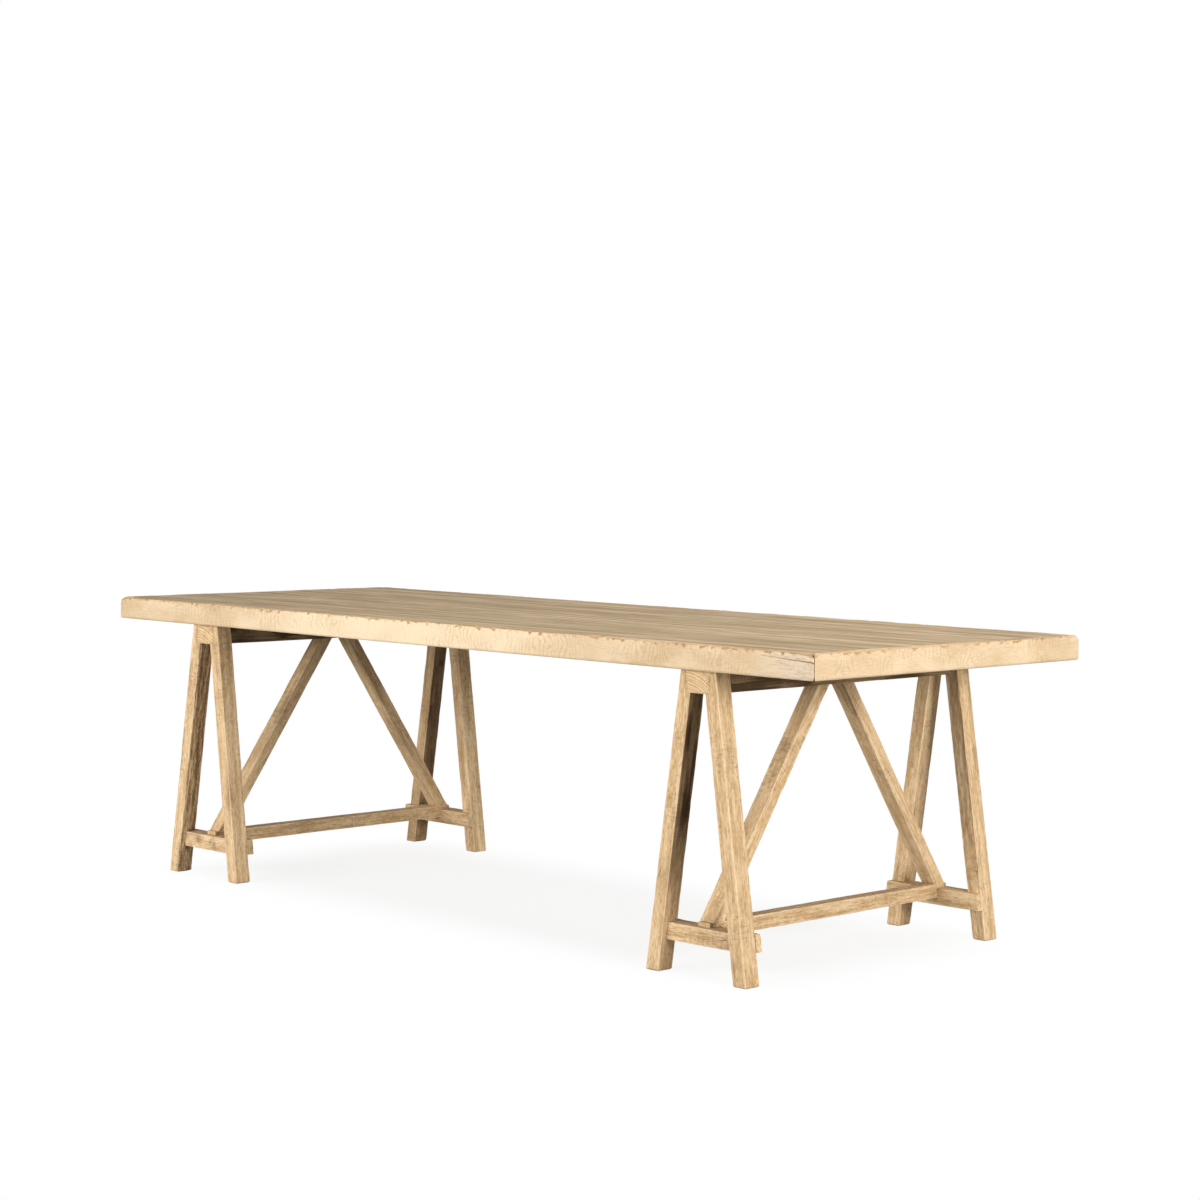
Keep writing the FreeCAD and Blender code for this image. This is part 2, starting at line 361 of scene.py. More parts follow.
def growth(grain):
    """Growth rings: uneven bands about the pith, which strays a little along the log."""
    stray = grain.cloud(5, 1.1, output="Color").scaled((PITH_STRAY, PITH_STRAY, 0))
    strayed = grain.node("ShaderNodeVectorMath", {"operation": "ADD"}, {0: stray, 1: grain.scaled((1, 1, 0))})
    return grain.node("ShaderNodeTexNoise", {"noise_dimensions": "1D"},
                      {"W": strayed.size(), "Scale": RINGS_PER_METRE, "Detail": 1})


PALE_OAK = (227, 199, 158)
DEEP_OAK = (187, 153, 110)
BLOTCH_BROWN = (150, 120, 84)
TONE_BROWN = (152, 120, 84)
FLECK_BROWN = (132, 100, 66)
# Paler oak along the arrises, for wear and for a painted highlight.
RUBBED_OAK_AND_HIGHLIGHT = (240, 218, 184)
# The brown of old stains, also used for painted shade under the top.
SHADE_AND_STAIN_BROWN = (66, 46, 26)
CRACK_BROWN = (60, 44, 29)
RUBBED_AND_HIGHLIGHT_BAND = (0.001, 0.004)
PIT_DEPTHS = (0.003, 0.007)
TRESTLE_RELIEF = 0.0011


def trestle_finish(name, ring_share):
    """Old trestle oak: warm tan, flecked across the grain, cracked where weathered, browned by old stains and
    by painted shade under the top, and paler along the arrises, where it is worn and carries a painted
    highlight.
    """
    material, shader, start = wood_shader(name)
    grain = start.attribute("grain")
    tone, stain_and_shade, lost = start.attribute("state").parts()
    off_arris = start.attribute("off_arris", "Fac")
    mottle = grain.cloud(210, 34)
    streaks = grain.cloud(60, 6)
    fibres = grain.cloud(600, 80)
    blotches = grain.cloud(18, 7)
    flecks = grain.cloud(330, 70, 1).between(0.6, 0.72)
    ripples = grain.cloud(40, 200, 1).between(0.46, 0.7) * grain.cloud(14, 7).between(0.48, 0.62)
    plain = mottle * 0.3 + fibres * 0.35 + streaks * 0.35
    figure = (plain * (1 - ring_share) + growth(grain) * ring_share).between(0.4, 0.6)
    colour = figure.mixed(PALE_OAK, DEEP_OAK)
    colour = (blotches.between(0.52, 0.76) * 0.45).mixed(colour, BLOTCH_BROWN)
    colour = tone.mixed(colour, TONE_BROWN)
    colour = (flecks * 0.45 + ripples * 0.35).mixed(colour, FLECK_BROWN)
    # Paler along the arrises: partly worn pale, partly a painted highlight where the edges catch the light.
    rubbed_and_highlight = (1 - off_arris.between(*RUBBED_AND_HIGHLIGHT_BAND)) * (1 - stain_and_shade)
    colour = (rubbed_and_highlight * 0.35).mixed(colour, RUBBED_OAK_AND_HIGHLIGHT)
    # Brown where the wood is stained, and where shade under the top is painted on.
    brown_shade_and_stain = stain_and_shade * (0.7 + 0.3 * (streaks + blotches).between(0.8, 1.2))
    colour = brown_shade_and_stain.mixed(colour, SHADE_AND_STAIN_BROWN)
    crack_lines = 1 - abs(grain.cloud(38, 1.8, 1) - 0.5).between(0.002, 0.008)
    crack = crack_lines * (blotches + stain_and_shade * 0.2).between(0.58, 0.68)
    pit = lost.between(*PIT_DEPTHS) * stain_and_shade.between(0, 0.1)
    colour = (crack * 0.7 + pit * 0.4).between(0, 1).mixed(colour, CRACK_BROWN)
    colour.drive(shader, "Base Color")
    (0.68 + fibres * 0.2).drive(shader, "Roughness")
    relief = mottle * 0.5 + fibres * 0.3 + ripples * 0.5 - flecks * 0.4 - crack * 1.4
    bumped(relief, TRESTLE_RELIEF).drive(shader, "Normal")
    return material


def shade_and_stain_under_top(points, facings):
    """The beam is painted darker on all but its ends: painted shade under the top, with some old staining."""
    return (1 - abs(facings[:, 1])) * BEAM_SHADE_AND_STAIN


beam_oak = trestle_finish("beam_oak", BEAM_RING_SHARE)
for trestle in TRESTLES:
    node = trestle + "_head_beam"
    low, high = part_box(node)
    size = high - low
    beam = timber(trestle + "_worn_head_beam", size.x, size.z, size.y, BEAM_GRID, BEAM_ARRIS, BEAM_WORN_REACH)
    wear(beam, BEAM_DIP, BEAM_DIP_SIZE, LONG, ALL_OVER)
    wear(beam, BEAM_KNOCK, BEAM_KNOCK_SIZE, LONG, HERE_AND_THERE, "arris")
    middle = (low + high) / 2
    place = laid(middle - Y * size.y / 2, middle + Y * size.y / 2, X)
    put(beam, place)
    # The beam's darkening is painted shade under the top, with some old staining.
    lay_grain(beam, place, size.x, size.z, BEAM_PITH, chance.uniform(0, MOST_BEAM_TONE), shade_and_stain_under_top)
    finish_piece(beam, beam_oak, trestle, "trestle_oak", node)

# Legs: eight splayed oak legs, paired into A-frames with their outer faces flush with the beam's ends.
# Each head is notched round the beam, and each foot is sawn level and chamfered by hand.
# Some faces are older than the rest, cracked and brown; the brown is partly old staining and partly painted
# shade that rises toward the head under the top.
SIDES = ((-1, "left"), (1, "right"))
ENDS = ((-1, "front"), (1, "rear"))
LEG_WIDTH = 0.041
LEG_DEPTH = 0.048
HEAD_HALF_SPREAD = 0.056
LEG_COLUMNS = 10
LEG_ROWS = 11
OLD_LEG_ROWS = 20
LEG_SLICES = [100, 1]
CRACKED_LEG_SLICES = [100, 3]
LEG_ARRIS = 0.002
LEG_WORN_REACH = 0.011
LEG_DIP = 0.0004
LEG_DIP_SIZE = 0.15
ARRIS_KNOCK = 0.0011
ARRIS_KNOCK_SIZE = 0.025
FOOT_CHAMFER = 0.005
# A chamfer is made in two cuts, each with its share of the height and its slope.
CHAMFER_CUTS = ((1, 1), (0.45, 2.4))
CHAMFER_SHARES = (0.5, 0.9)
OVERRUN = 0.03
# Where an old face looks, how deep its cracks are, above what height it is brown, and how brown; the brown is
# partly old staining and partly painted shade.
OLD_AND_SHADED_FACES = {"left_trestle_front_left_leg": (X, 0.005, -0.3, 0.12),
             "left_trestle_rear_left_leg": (X, 0.0012, 0, 0.7),
             "right_trestle_rear_right_leg": (-Y, 0.0016, 0.12, 0.5),
             "right_trestle_front_left_leg": (X, 0.0006, 0.12, 1)}
DEEP_CRACKS = 0.002
# Coarse and fine cracks: the share of the depth, the size, the stretch and the levels of each.
CRACKS = ((1, 0.009, 10, (0.46, 0.58)), (0.5, 0.005, 6, (0.48, 0.6)))
OLD_FACE_LEAST = 0.6
BROWNING_RISE = 0.25
DARK_LEGS = {"left_trestle_rear_left_leg": 0.4, "right_trestle_front_right_leg": 0.18}
MOST_LEG_TONE = 0.12
LEG_PITH_ACROSS = 0.1
LEG_PITH_DEPTHS = (0.03, 0.09)
LEG_RING_SHARE = 0.12


def saw(piece, point, away):
    """Saws through a piece and drops what lies on the far side of the cut."""
    hold(piece)
    bpy.ops.object.mode_set(mode="EDIT")
    bpy.ops.mesh.select_all(action="SELECT")
    bpy.ops.mesh.bisect(plane_co=point, plane_no=away, use_fill=True, clear_outer=True)
    bpy.ops.object.mode_set(mode="OBJECT")


def cut_away(piece, cutter):
    """Takes one shape out of a piece, and then removes the cutter."""
    hold(piece)
    cut = piece.modifiers.new("cut", "BOOLEAN")
    cut.object = cutter
    cut.operation = "DIFFERENCE"
    cut.solver = "MANIFOLD"
    bpy.ops.object.modifier_apply(modifier=cut.name)
    bpy.data.objects.remove(cutter)


def block(low, high):
    """A plain block between two corners, to cut with."""
    bpy.ops.object.select_all(action="DESELECT")
    bpy.ops.mesh.primitive_cube_add(size=1, location=(low + high) / 2, scale=high - low)
    bpy.ops.object.transform_apply()
    return bpy.context.object


def leg_place(trestle, side, end):
    """Where a leg lies, its length from foot to head, and how much of that is upright."""
    low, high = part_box(trestle + "_head_beam")
    centre = (low.x + high.x) / 2
    foot_half_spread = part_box(trestle + "_front_right_leg")[1].x - centre
    middle_y = end * (high.y - LEG_DEPTH / 2)
    foot = Vector((centre + side * (foot_half_spread - LEG_WIDTH / 2), middle_y, 0))
    head = Vector((centre + side * (HEAD_HALF_SPREAD - LEG_WIDTH / 2), middle_y, high.z))
    along = (head - foot).normalized()
    return laid(foot - along * OVERRUN, head + along * OVERRUN, X), (head - foot).length, along.z


def crack_face(leg, direction, depth):
    """Cracks the one face of a leg, still in its own frame, that looks in a direction."""
    def squareness(spot, normal):
        return (normal.dot(direction) - OLD_FACE_LEAST) / (1 - OLD_FACE_LEAST)
    grade(leg, "old", squareness)
    for share, crack_size, stretch, levels in CRACKS:
        wear(leg, depth * share, crack_size, stretch, levels, "old")


def chamfer_foot(leg, foot, width, upright):
    """Chamfers the four edges of a foot, each in two cuts of uneven size."""
    slanted = width / 2 / upright
    for outward, half in ((X, slanted), (-X, slanted), (Y, LEG_DEPTH / 2), (-Y, LEG_DEPTH / 2)):
        for lift, slope in CHAMFER_CUTS:
            chamfer = FOOT_CHAMFER * lift * chance.uniform(*CHAMFER_SHARES)
            saw(leg, foot + outward * half + Z * chamfer, outward - Z * slope)


def facing(direction, above=-1, most=1):
    """How squarely each point faces a direction, fading in above a height up to some most."""
    return lambda points, facings: (np.clip(facings @ np.array(direction), 0, 1)
                                    * np.clip((points[:, 2] - above) / BROWNING_RISE, 0, 1) * most)


trestle_oak = trestle_finish("trestle_oak", LEG_RING_SHARE)
for trestle in TRESTLES:
    low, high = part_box(trestle + "_head_beam")
    for side, side_name in SIDES:
        for end, end_name in ENDS:
            leg_name = end_name + "_" + side_name + "_leg"
            node = trestle + "_" + leg_name
            place, length, upright = leg_place(trestle, side, end)
            width = LEG_WIDTH * upright
            old_face, crack_depth, above, stain_and_shade_share = OLD_AND_SHADED_FACES.get(node, (None, 0, 0, 0))
            rows = OLD_LEG_ROWS if old_face else LEG_ROWS
            slices = CRACKED_LEG_SLICES if crack_depth > DEEP_CRACKS else LEG_SLICES
            leg = timber(trestle + "_worn_" + leg_name, width, LEG_DEPTH, length + 2 * OVERRUN,
                         (LEG_COLUMNS, rows, slices), LEG_ARRIS, LEG_WORN_REACH)
            stain_and_shade = nowhere
            if old_face:
                crack_face(leg, place.to_3x3().inverted() @ old_face, crack_depth)
                # The brown on these faces is partly old staining and partly painted shade, darker toward the
                # head.
                stain_and_shade = facing(old_face, above, stain_and_shade_share)
            wear(leg, LEG_DIP, LEG_DIP_SIZE, LONG, ALL_OVER)
            wear(leg, ARRIS_KNOCK, ARRIS_KNOCK_SIZE, LONG, HERE_AND_THERE, "arris")
            put(leg, place)
            saw(leg, (0, 0, 0), -Z)
            saw(leg, (0, 0, high.z), Z)
            chamfer_foot(leg, place @ Vector((0, 0, -length / 2)), width, upright)
            notch_low = Vector((low.x, low.y - OVERRUN, low.z))
            cut_away(leg, block(notch_low, high + Vector((0, OVERRUN, OVERRUN))))
            pith = (chance.uniform(-LEG_PITH_ACROSS, LEG_PITH_ACROSS),
                    chance.choice((-1, 1)) * chance.uniform(*LEG_PITH_DEPTHS))
            tone = DARK_LEGS.get(node, chance.uniform(0, MOST_LEG_TONE))
            lay_grain(leg, place, width, LEG_DEPTH, pith, tone, stain_and_shade)
            finish_piece(leg, trestle_oak, trestle, "trestle_oak", node)

# Foot rails: one low oak rail behind each pair of legs, its middle shouldered between them.
# The thinner ends lap behind the legs and are sawn flush with their outer sides.
RAIL_GRID = (11, 9, [70])
RAIL_ARRIS = 0.002
RAIL_WORN_REACH = 0.01
RAIL_DIP = 0.0005
RAIL_DIP_SIZE = 0.08
RAIL_DIP_STRETCH = 2.5
RAIL_PITH_ACROSS = 0.06
RAIL_PITH_DEPTH = 0.03
MOST_RAIL_TONE = 0.08
KNOTTY_RAIL = "left_trestle_front_foot_rail"
# How far along and above the middle of that rail each knot lies, and its radius.
KNOTS = ((0.033, -0.003, 0.009), (0.015, 0.003, 0.007), (-0.042, 0.007, 0.012))
KNOT_BROWNING = 0.75


def knotted(middle):
    """Brown spots about the knots of a rail with a given middle."""
    def spots(points, facings):
        x, y, z = (points - np.array(middle)).T
        return KNOT_BROWNING * sum(np.exp(-(((x - along) / radius) ** 2 + ((z - above) / radius) ** 2))
                                   for along, above, radius in KNOTS)
    return spots


for trestle in TRESTLES:
    for end, end_name in ENDS:
        node = trestle + "_" + end_name + "_foot_rail"
        low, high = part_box(node)
        size = high - low
        rail = timber(trestle + "_worn_" + end_name + "_foot_rail", size.y, size.z, size.x + 2 * OVERRUN,
                      RAIL_GRID, RAIL_ARRIS, RAIL_WORN_REACH)
        wear(rail, RAIL_DIP, RAIL_DIP_SIZE, RAIL_DIP_STRETCH, ALL_OVER)
        wear(rail, ARRIS_KNOCK, ARRIS_KNOCK_SIZE, LONG, HERE_AND_THERE, "arris")
        middle = (low + high) / 2
        place = laid(middle - X * (size.x / 2 + OVERRUN), middle + X * (size.x / 2 + OVERRUN), Y)
        put(rail, place)
        for side in (-1, 1):
            leg_lie, length, upright = leg_place(trestle, side, end)
            half = Vector((LEG_WIDTH * upright / 2, LEG_DEPTH / 2, length))
            outward = leg_lie.to_3x3() @ X * side
            saw(rail, leg_lie.translation + outward * half.x, outward)
            leg_room = block(-half, half)
            put(leg_room, leg_lie)
            cut_away(rail, leg_room)
        pith = (chance.uniform(-RAIL_PITH_ACROSS, RAIL_PITH_ACROSS), RAIL_PITH_DEPTH)
        if node == KNOTTY_RAIL:
            lay_grain(rail, place, size.y, size.z, pith, 0, knotted(middle))
        else:
            lay_grain(rail, place, size.y, size.z, pith, chance.uniform(0, MOST_RAIL_TONE))
        finish_piece(rail, trestle_oak, trestle, "trestle_oak", node)

# Stretchers: one oak bar between the foot rails of each trestle, halved at its ends
# so that a tongue rides over each rail and is held down there by the brace.
STRETCHER_GRID = (8, 8, [100])
STRETCHER_ARRIS = 0.0018
STRETCHER_WORN_REACH = 0.009
BAR_DIP = 0.0005
BAR_DIP_SIZE = 0.1
STRETCHER_PITH = (0.04, 0.05)
MOST_BAR_TONE = 0.18

for trestle in TRESTLES:
    node = trestle + "_stretcher"
    low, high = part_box(node)
    size = high - low
    rail_low, rail_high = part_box(trestle + "_rear_foot_rail")
    stretcher = timber(trestle + "_worn_stretcher", size.x, size.z, size.y,
                       STRETCHER_GRID, STRETCHER_ARRIS, STRETCHER_WORN_REACH)
    wear(stretcher, BAR_DIP, BAR_DIP_SIZE, LONG, ALL_OVER)
    wear(stretcher, ARRIS_KNOCK, ARRIS_KNOCK_SIZE, LONG, HERE_AND_THERE, "arris")
    middle = (low + high) / 2
    place = laid(middle - Y * size.y / 2, middle + Y * size.y / 2, X)
    put(stretcher, place)
    for end in (-1, 1):
        corners = ((low.x - OVERRUN, end * rail_low.y, low.z - OVERRUN),
                   (high.x + OVERRUN, end * (high.y + OVERRUN), rail_high.z))
        cut_away(stretcher, block(Vector(map(min, *corners)), Vector(map(max, *corners))))
    lay_grain(stretcher, place, size.x, size.z, STRETCHER_PITH, chance.uniform(0, MOST_BAR_TONE))
    finish_piece(stretcher, trestle_oak, trestle, "trestle_oak", node)

# Braces: two sloping oak bars in each trestle, from the stretcher's ends to the middle of the beam.
# Both ends are sawn level, and stub tenons inside the joints hold them.
BRACE_CUT = 0.041
BRACE_GRID = (9, 7, [100])
BRACE_ARRIS = 0.002
BRACE_WORN_REACH = 0.01
BRACE_PITH_ACROSS = 0.08
BRACE_PITH_DEPTH = 0.05
# Painted shade on the brace heads: the height where it starts, the rise over which it grows, and how dark it
# gets.
HEAD_SHADE_ABOVE = 0.5
HEAD_SHADE_RISE = 0.15
BRACE_HEAD_SHADE = 0.3


def painted_head_shade(points, facings):
    """The heads are painted a little darker toward the top: painted shade under it."""
    return np.clip((points[:, 2] - HEAD_SHADE_ABOVE) / HEAD_SHADE_RISE, 0, 1) * BRACE_HEAD_SHADE


for trestle in TRESTLES:
    beam_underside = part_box(trestle + "_head_beam")[0].z
    stretcher_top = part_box(trestle + "_stretcher")[1].z
    for end, end_name in ENDS:
        node = trestle + "_" + end_name + "_brace"
        low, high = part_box(node)
        foot_y, head_y = (low.y, high.y) if end < 0 else (high.y, low.y)
        centre = (low.x + high.x) / 2
        foot = Vector((centre, foot_y - end * BRACE_CUT / 2, stretcher_top))
        head = Vector((centre, head_y + end * BRACE_CUT / 2, beam_underside))
        along = (head - foot).normalized()
        width = high.x - low.x
        depth = BRACE_CUT * along.z
        length = (head - foot).length + 2 * OVERRUN
        brace = timber(trestle + "_worn_" + end_name + "_brace", width, depth, length,
                       BRACE_GRID, BRACE_ARRIS, BRACE_WORN_REACH)
        wear(brace, BAR_DIP, BAR_DIP_SIZE, LONG, ALL_OVER)
        wear(brace, ARRIS_KNOCK, ARRIS_KNOCK_SIZE, LONG, HERE_AND_THERE, "arris")
        place = laid(foot - along * OVERRUN, head + along * OVERRUN, X)
        put(brace, place)
        saw(brace, foot, -Z)
        saw(brace, head, Z)
        pith = (chance.uniform(-BRACE_PITH_ACROSS, BRACE_PITH_ACROSS), BRACE_PITH_DEPTH)
        # The brace heads carry painted shade under the top.
        lay_grain(brace, place, width, depth, pith, chance.uniform(0, MOST_BAR_TONE), painted_head_shade)
        finish_piece(brace, trestle_oak, trestle, "trestle_oak", node)

# Hidden joinery: slip tenons, pegs, loose tongues and mitre keys, planed from straight oak offcuts.
# They sit inside the joints; only the pegs show, when the top is lifted.
FRESH_OAK = (206, 172, 128)
FRESH_OAK_DEEP = (168, 130, 88)
PLANED_RELIEF = 0.0004
UPRIGHT_GRAIN = (0, 0, 0)


def plain_finish(name, pale, deep, turn):
    """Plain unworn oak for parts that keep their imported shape, with its grain turned one way."""
    material, shader, start = wood_shader(name)
    grain = start.node("ShaderNodeMapping", {}, {"Vector": start.spot(), "Rotation": turn})
    fibres = grain.cloud(380, 14, 3)
    streaks = grain.cloud(70, 2)
    colour = (fibres * 0.5 + streaks * 0.5).between(0.36, 0.64).mixed(pale, deep)
    colour.drive(shader, "Base Color")
    (0.7 + fibres * 0.2).drive(shader, "Roughness")
    bumped(fibres, PLANED_RELIEF).drive(shader, "Normal")
    return material


def dress(node, material):
    """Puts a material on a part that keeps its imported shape."""
    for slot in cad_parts[node].material_slots:
        slot.material = material


joint_oak = plain_finish("joint_oak", FRESH_OAK, FRESH_OAK_DEEP, UPRIGHT_GRAIN)
for trestle in TRESTLES:
    for part in ("_head_slips", "_rail_slips", "_locating_pegs"):
        dress(trestle + part, joint_oak)
for node in ("seam_tongues", "end_tongues", "mitre_keys"):
    dress(node, joint_oak)

# Bearers and battens: rough oak cross members, let a little way into the planks from below.
# Broad ones rest on the head beams, and narrower ones keep the planks flat between them.
ROUGH_OAK = (172, 140, 100)
ROUGH_OAK_DEEP = (128, 98, 66)
CROSSWISE_GRAIN = (math.pi / 2, 0, 0)

underside_oak = plain_finish("underside_oak", ROUGH_OAK, ROUGH_OAK_DEEP, CROSSWISE_GRAIN)
for node in ("left_bearer", "left_batten", "middle_batten", "right_batten", "right_bearer"):
    dress(node, underside_oak)

# Planks: seven old oak boards over the whole length, tongued edge to edge and scraped flat.
# They have gone greyish brown, still undulate a little, and are streaked along the grain.
PLANKS = ["top_plank_%d" % number for number in range(1, 8)]
PLANK_GRID = (9, 1, [100])
PLANK_ARRIS = 0.0005
PLANK_DIP = 0.0009
PLANK_DIP_SIZE = 0.09
PLANK_PITH = (0.02, 0.06)
MOST_PLANK_TONE = 0.35
TOP_OAK = (218, 195, 161)
TOP_OAK_DEEP = (168, 144, 112)
TOP_BLOTCH = (166, 142, 110)
TOP_SPOT = (128, 104, 76)
TOP_FIBRES = (200, 8, 3)
TOP_RELIEF = 0.0004


def worn_top_colour(grain):
    """The greyed brown of the worn upper face, with streaks along the grain."""
    streaks = grain.cloud(60, 1.6)
    fibres = grain.cloud(*TOP_FIBRES)
    blotches = grain.cloud(9, 2.5)
    spots = grain.cloud(300, 60, 1).between(0.62, 0.78)
    colour = (streaks * 0.55 + fibres * 0.45).between(0.41, 0.59).mixed(TOP_OAK, TOP_OAK_DEEP)
    colour = (blotches.between(0.5, 0.75) * 0.4).mixed(colour, TOP_BLOTCH)
    return (spots * 0.4).mixed(colour, TOP_SPOT)


def top_finish():
    """Worn top oak, a little browner on some planks than on others."""
    material, shader, start = wood_shader("worn_top_oak")
    grain = start.attribute("grain")
    tone = start.attribute("state").parts()[0]
    fibres = grain.cloud(*TOP_FIBRES)
    tone.mixed(worn_top_colour(grain), TOP_OAK_DEEP).drive(shader, "Base Color")
    (0.75 + fibres * 0.2).drive(shader, "Roughness")
    bumped(fibres, TOP_RELIEF).drive(shader, "Normal")
    return material


top_oak = top_finish()
for node in PLANKS:
    low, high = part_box(node)
    size = high - low
    plank = sawn_bar("worn_" + node, size.y, size.z, size.x, *PLANK_GRID)
    ease(plank, arrises(size.y, size.z), PLANK_ARRIS)
    wear(plank, PLANK_DIP, PLANK_DIP_SIZE, LONG, ALL_OVER)
    middle = (low + high) / 2
    place = laid(middle - X * size.x / 2, middle + X * size.x / 2, Y)
    put(plank, place)
    lay_grain(plank, place, size.y, size.z, PLANK_PITH, chance.uniform(0, MOST_PLANK_TONE))
    finish_piece(plank, top_oak, "tabletop", "worn_top_oak", node)

# Lippings: four deep oak strips round the planks, planed by hand, mitred and keyed at the corners.
# Their upper arris is chipped and browned by use, and their tops are as worn as the planks.
# The front one has a bleached, cracked end, with a long shake that runs out at the mitre.
LIP_COLUMNS = 2
LIP_ROWS = 7
SIDE_LIP_SLICES = [100, 7]
END_LIP_SLICES = [100, 2]
LIPPINGS = (("front_lipping", -Y, SIDE_LIP_SLICES), ("rear_lipping", Y, SIDE_LIP_SLICES),
            ("left_end_lipping", -X, END_LIP_SLICES), ("right_end_lipping", X, END_LIP_SLICES))
LIP_UPPER_EASE = 0.004
LIP_LOWER_EASE = 0.007
LIP_EASE_SEGMENTS = 3
LIP_WORN_REACH = 0.014
LIP_PITH = (0.05, 0.03)
FACE_DIP = 0.0007
FACE_DIP_SIZE = 0.07
RIM_DIP = 0.0022
RIM_DIP_SIZE = 0.06
RIM_DIP_LEVELS = (0.4, 0.7)
LIP_DIP_STRETCH = 2
CHIP = 0.0055
CHIP_SIZE = 0.014
CHIP_STRETCH = 1.3
CHIP_LEVELS = (0.54, 0.64)
# How far along it each lipping's tips are worn, and how deep.
WORN_TIPS = {"front_lipping": (0.07, 0.0105), "rear_lipping": (0.03, 0.009),
             "left_end_lipping": (0.025, 0.009), "right_end_lipping": (0.018, 0.0105)}
TIP_WORN_REACH = 0.035
CORNER_ROUND = 0.009
CORNER_LOSS = CORNER_ROUND * (1 - math.sqrt(0.5))
CORNER_FLATS = (15, 30, 45)
MITRE_EASE = 0.0006
MITRE_GAP = 0.0007
MITRE_GAPE = 0.12
GAPE_START_SHARE = 0.22
PATCH_LENGTH = 0.195
PATCH_FADE = 0.12
# From the near upper corner of the top.
SHAKE_START = Vector((-0.165, 0, -0.011))
SHAKE_END = Vector((0.005, 0, -0.0225))
SHAKE_WIDTH = 0.0022
SHAKE_DEPTH = 0.005


def settle(bar, depth, group):
    """Lowers the points of a group by up to a depth, in the bar's own frame."""
    hold(bar)
    sink = bar.modifiers.new("settle", "DISPLACE")
    sink.direction = "Y"
    sink.mid_level = 0
    sink.strength = -depth
    sink.vertex_group = group
    bpy.ops.object.modifier_apply(modifier=sink.name)


def tip_wear(length, height, worn_length):
    """A weight that is most at the upper tips, less along the strip and down its face."""
    def weight(spot, normal):
        from_tip = length / 2 - abs(spot.z)
        below_top = height / 2 - spot.y
        return max(0, 1 - from_tip / worn_length) ** 2 * max(0, 1 - below_top / TIP_WORN_REACH)
    return weight


def mitre_end(lipping, corner, toward, outward, height):
    """Mitres one end, rounds its corner in flats, blunts its tip and lets its lower end gape."""
    mitre = (toward - outward).normalized()
    saw(lipping, corner - mitre * MITRE_GAP, mitre)
    centre = corner - (toward + outward) * CORNER_ROUND
    for degrees in CORNER_FLATS:
        turn = math.radians(degrees)
        normal = outward * math.cos(turn) + toward * math.sin(turn)
        tip = centre + normal * CORNER_ROUND
        saw(lipping, tip, normal)
    saw(lipping, tip - toward * MITRE_EASE, toward)
    saw(lipping, corner - Z * height * GAPE_START_SHARE, mitre - Z * MITRE_GAPE)


def split(lipping, corner):
    """Cuts the shake: a long thin wedge in the front face, widest where it runs out at a corner."""
    start = corner + SHAKE_START
    end = corner + SHAKE_END
    fall = end - start
    reach = Vector((0, SHAKE_DEPTH, OVERRUN))
    wedge = block(start + Z * fall.z - reach, end + reach)
    saw(wedge, start, Vector((-fall.z - SHAKE_WIDTH, 0, fall.x)))
    saw(wedge, start, Vector((fall.z, 0, -fall.x)))
    cut_away(lipping, wedge)


def bleached_end(points, facings):
    """The near end of the front lipping is bleached."""
    return np.clip((points[:, 0] - cad_high.x + PATCH_LENGTH) / PATCH_FADE, 0, 1)


EDGE_OAK = (216, 193, 160)
EDGE_OAK_DEEP = (198, 171, 135)
# The colour of the painted pool of light near the middle of the front and rear lippings.
EDGE_LIGHT_POOL = (236, 216, 184)
EDGE_FLECK = (172, 138, 98)
EDGE_BLEACHED = (214, 196, 174)
EDGE_CRACK = (142, 110, 78)
RIM_OCHRE = (194, 154, 102)
# The colour of the painted shade in deep chips and in the shake.
RECESS_SHADE_BROWN = (110, 80, 50)
# Where the painted pool of light is centred along the table, and how far it reaches.
LIGHT_POOL_CENTRE = -0.1
LIGHT_POOL_REACH = (0.3, 0.8)
CORNER_REACH = (0.02, 0.045)
RIM_REACH = (0.008, 0.016)
CHIP_DEPTHS = (0.0008, 0.003)
RECESS_SHADE_DEPTHS = (0.003, 0.005)
EDGE_RELIEF = 0.0006


